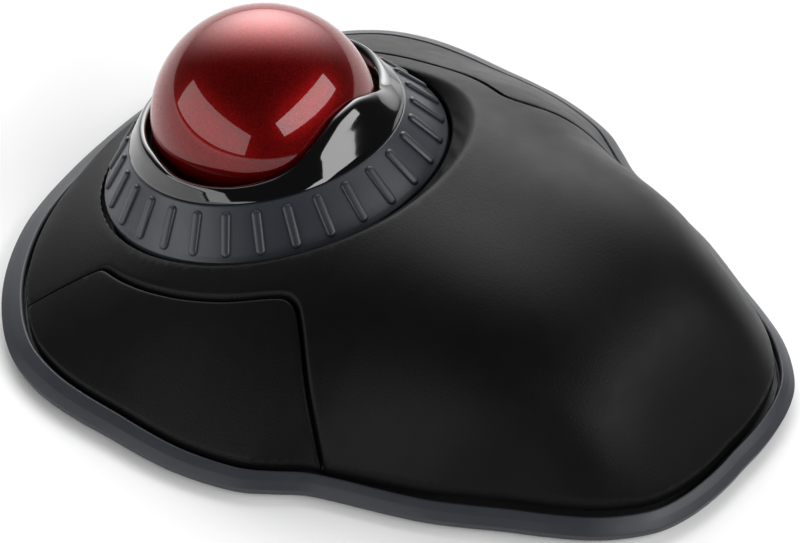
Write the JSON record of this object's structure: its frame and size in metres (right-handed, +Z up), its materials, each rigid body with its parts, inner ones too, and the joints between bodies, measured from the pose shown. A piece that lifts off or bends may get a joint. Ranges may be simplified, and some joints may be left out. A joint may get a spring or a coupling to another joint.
{
  "type": "trackball mouse",
  "caption": "Wireless trackball mouse with a scroll ring round the ball, a side button under each finger and a palm hump.",
  "frame": {"origin": "on the desk under the middle of the case's bounding box", "axes": "+X to the user's right, +Y away from the user, +Z up"},
  "size_m": [0.1168, 0.1388, 0.0468],
  "materials": {
    "ball_lacquer": "deep red metallic lacquer under clear gloss",
    "gloss_black": "polished black",
    "ring_grey": "satin blue-grey",
    "trim_grey": "satin blue-grey",
    "soft_touch_black": "soft-touch matte black",
    "inner_plastic": "moulded black",
    "rubber_feet": "matte rubber",
    "screw_steel": "plated steel",
    "bearing_ceramic": "polished ceramic",
    "clear_lens": "clear moulded lens",
    "circuit_board": "green solder mask",
    "switch_white": "natural white plastic",
    "battery_can": "plain wrapped can"
  },
  "bodies": {
    "case": {"top_shell": "soft_touch_black", "trim_band": "trim_grey", "base_plate": "inner_plastic", "ball_cup": "inner_plastic", "support_bearing_front": "bearing_ceramic", "support_bearing_left": "bearing_ceramic", "support_bearing_right": "bearing_ceramic", "sensor_lens": "clear_lens", "motion_sensor": "inner_plastic", "sensor_board": "circuit_board", "socket_collar": "gloss_black", "ring_carrier": "inner_plastic", "ring_sensor_board": "circuit_board", "ring_sensor": "inner_plastic", "foot_front_left": "rubber_feet", "foot_front_right": "rubber_feet", "foot_middle_left": "rubber_feet", "foot_middle_right": "rubber_feet", "foot_rear_left": "rubber_feet", "foot_rear_right": "rubber_feet", "case_screw_front_left": "screw_steel", "case_screw_front_right": "screw_steel", "case_screw_middle_left": "screw_steel", "case_screw_middle_right": "screw_steel", "case_screw_rear_left": "screw_steel", "case_screw_rear_right": "screw_steel", "cup_screw_left": "screw_steel", "cup_screw_right": "screw_steel", "cup_screw_front": "screw_steel", "carrier_screw_left": "screw_steel", "carrier_screw_right": "screw_steel", "carrier_screw_front": "screw_steel", "mode_switch_body": "inner_plastic", "battery_tray": "inner_plastic", "battery_front": "battery_can", "battery_rear": "battery_can", "positive_contact_front": "screw_steel", "negative_contact_front": "screw_steel", "positive_contact_rear": "screw_steel", "negative_contact_rear": "screw_steel", "main_board": "circuit_board", "radio_chip": "inner_plastic", "left_switch_body": "inner_plastic", "right_switch_body": "inner_plastic"},
    "ball": {"ball": "ball_lacquer"},
    "ring": {"scroll_ring": "ring_grey", "ring_code_wheel": "inner_plastic"},
    "left_button": {"left_button": "soft_touch_black"},
    "right_button": {"right_button": "soft_touch_black"},
    "left_plunger": {"left_switch_plunger": "switch_white"},
    "right_plunger": {"right_switch_plunger": "switch_white"},
    "mode_knob": {"mode_switch_knob": "switch_white"},
    "door": {"battery_door": "inner_plastic"}
  },
  "joints": [
    {"name": "ball_roll", "type": "hinge", "parent": "case", "child": "ball", "pos_m": [0, 0.0324, 0.02682], "axis": [1, 0, 0], "continuous": true},
    {"name": "ring_spin", "type": "hinge", "parent": "case", "child": "ring", "pos_m": [0, 0.0302, 0.0182], "axis": [0, 0.247, 0.969], "continuous": true},
    {"name": "left_button_press", "type": "hinge", "parent": "case", "child": "left_button", "pos_m": [-0.0411, 0.04705, 0.007], "axis": [0.6741, -0.7386, 0], "range_deg": [0, 1.2], "stiffness_Nm_per_rad": 0.6, "springref_deg": -0.57},
    {"name": "right_button_press", "type": "hinge", "parent": "case", "child": "right_button", "pos_m": [0.0411, 0.04705, 0.007], "axis": [0.6741, 0.7386, 0], "range_deg": [0, 1.2], "stiffness_Nm_per_rad": 0.6, "springref_deg": -0.57},
    {"name": "left_plunger_slide", "type": "slide", "parent": "case", "child": "left_plunger", "axis": [0, 0, -1], "range_m": [0, 0.0007]},
    {"name": "right_plunger_slide", "type": "slide", "parent": "case", "child": "right_plunger", "axis": [0, 0, -1], "range_m": [0, 0.0007]},
    {"name": "mode_switch_slide", "type": "slide", "parent": "case", "child": "mode_knob", "axis": [1, 0, 0], "range_m": [0, 0.004]},
    {"name": "battery_door_lift", "type": "slide", "parent": "case", "child": "door", "axis": [0, 0, -1], "range_m": [0, 0.008]}
  ],
  "couplings": [
    {"joint": "left_plunger_slide", "follows": "left_button_press", "m_per_rad": 0.0306},
    {"joint": "right_plunger_slide", "follows": "right_button_press", "m_per_rad": 0.0306}
  ]
}
